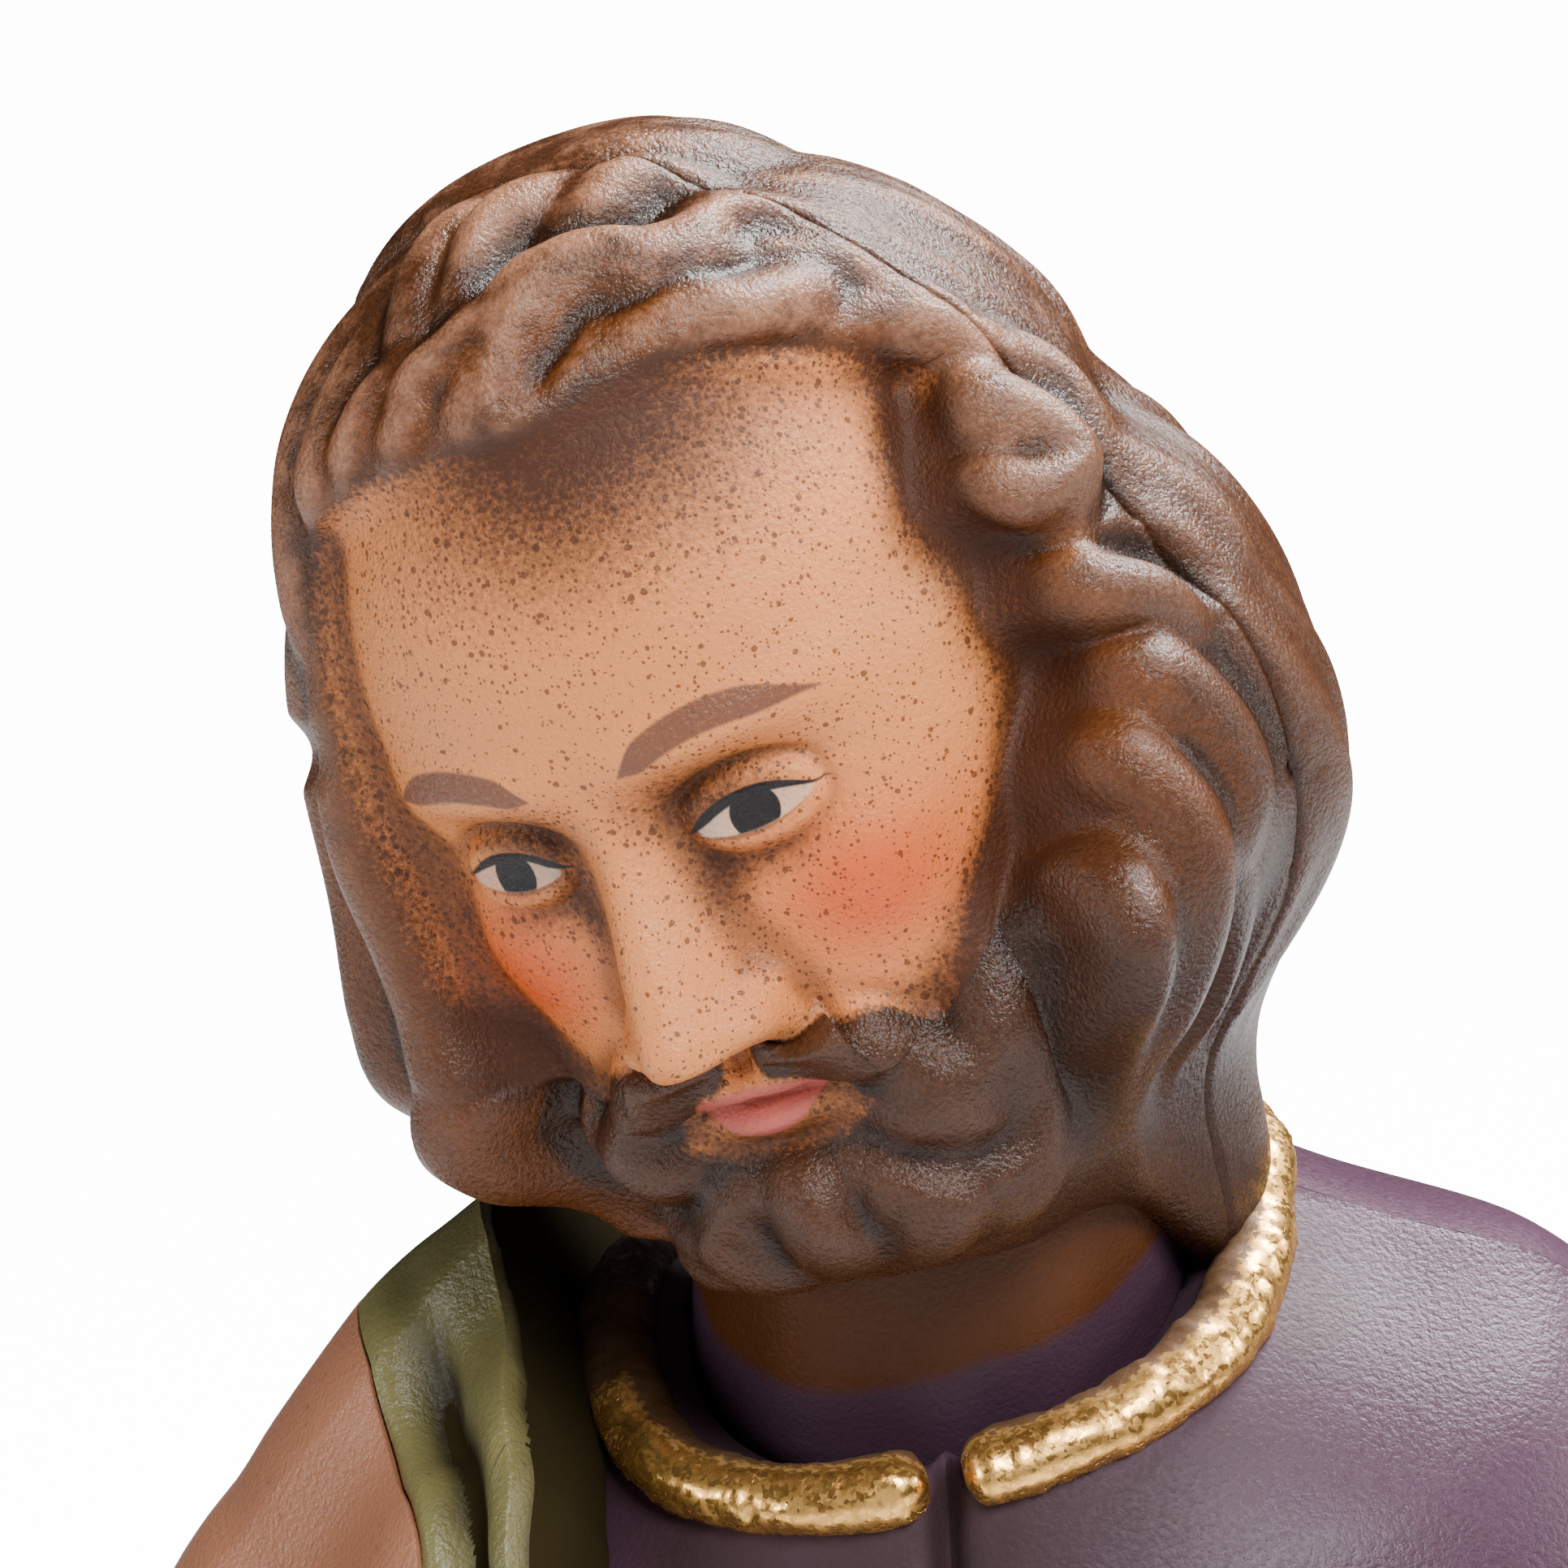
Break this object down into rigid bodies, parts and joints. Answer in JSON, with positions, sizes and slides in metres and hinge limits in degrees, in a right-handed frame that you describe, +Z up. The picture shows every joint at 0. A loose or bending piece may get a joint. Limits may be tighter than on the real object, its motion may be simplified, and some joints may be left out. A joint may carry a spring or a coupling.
{
  "type": "nativity figure",
  "caption": "Standing bearded man for a nativity scene, hollow cast and painted, in a gold-collared tunic and a mantle, with a loose staff that lifts out of the fist.",
  "frame": {"origin": "middle of the base's underside, on the surface that the figure stands on", "axes": "+Z up, -Y the way the figure faces, +X towards the figure's left hand and the staff"},
  "size_m": [0.058, 0.044, 0.1243],
  "materials": {
    "base_earth": "painted, satin",
    "tunic_violet": "painted dusty violet, satin",
    "collar_gold": "bronze-powder gold paint",
    "girdle_tan": "painted tan, satin",
    "mantle_brown": "painted reddish tan, satin",
    "facing_green": "painted olive green, satin",
    "head_paint": "painted flesh and dark brown hair, satin",
    "hair_paint": "painted dark brown, satin",
    "skin": "painted flesh, satin",
    "peg_wire": "plain drawn wire",
    "staff_wood": "stained and oiled"
  },
  "bodies": {
    "figure": {"base_plate": "base_earth", "tunic_front": "tunic_violet", "tunic_back": "tunic_violet", "collar_left": "collar_gold", "collar_right": "collar_gold", "girdle": "girdle_tan", "girdle_tails": "girdle_tan", "mantle": "mantle_brown", "mantle_facing": "facing_green", "mantle_collar": "facing_green", "neck_plug": "skin", "head_front": "head_paint", "head_back": "hair_paint", "left_sleeve": "tunic_violet", "left_hand": "skin", "left_wrist_peg": "peg_wire", "right_sleeve": "tunic_violet", "right_hand": "skin", "left_foot": "skin", "right_foot": "skin"},
    "staff": {"staff": "staff_wood"}
  },
  "joints": [
    {"name": "staff_lift", "type": "slide", "parent": "figure", "child": "staff", "axis": [0, 0, 1], "range_m": [0, 0.075]}
  ]
}
